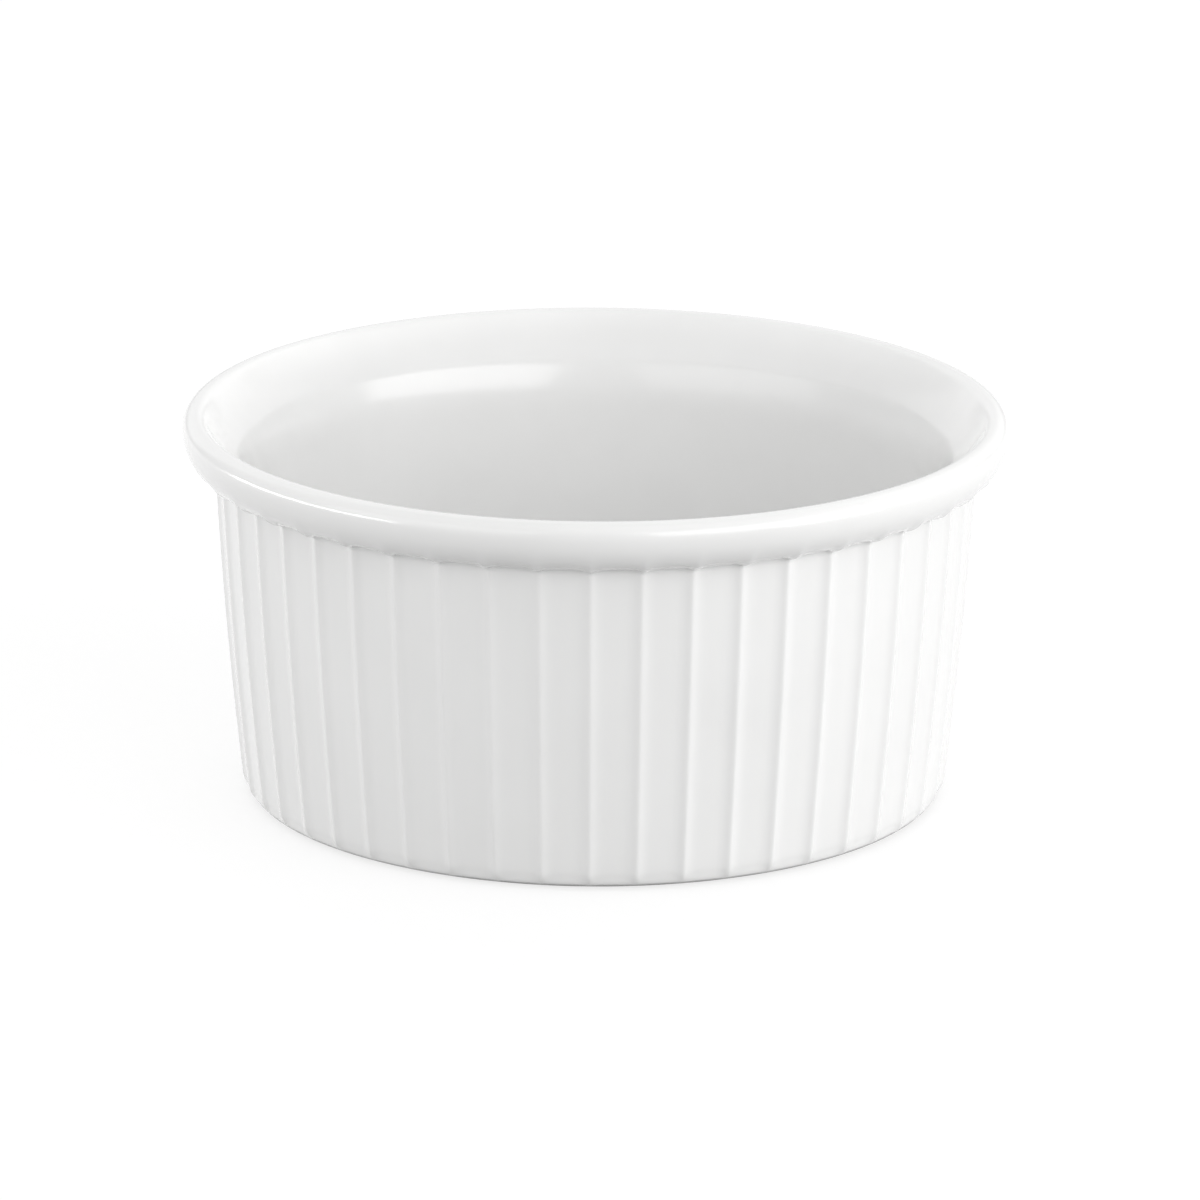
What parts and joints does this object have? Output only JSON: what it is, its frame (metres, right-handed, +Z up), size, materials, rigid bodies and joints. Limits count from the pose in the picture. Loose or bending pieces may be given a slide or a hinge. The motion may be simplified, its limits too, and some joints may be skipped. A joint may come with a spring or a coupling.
{
  "type": "fluted baking dish",
  "caption": "Round straight-sided white porcelain baking dish with a vertically fluted wall, rolled rim bead, flared lip with a shoulder inside, and bare standing ring, for baking and serving.",
  "frame": {"origin": "on the axis of the dish, in the plane that it stands on", "axes": "+Z up along the axis of the dish; +X passes through a ridge between two flutes"},
  "size_m": [0.2, 0.2, 0.094],
  "materials": {
    "bare_porcelain": "unglazed, fine matt",
    "white_glaze": "glossy fired glaze"
  },
  "bodies": {
    "root": {"porcelain_body": "bare_porcelain", "glaze_coat": "white_glaze", "underside_glaze": "white_glaze"}
  },
  "joints": []
}
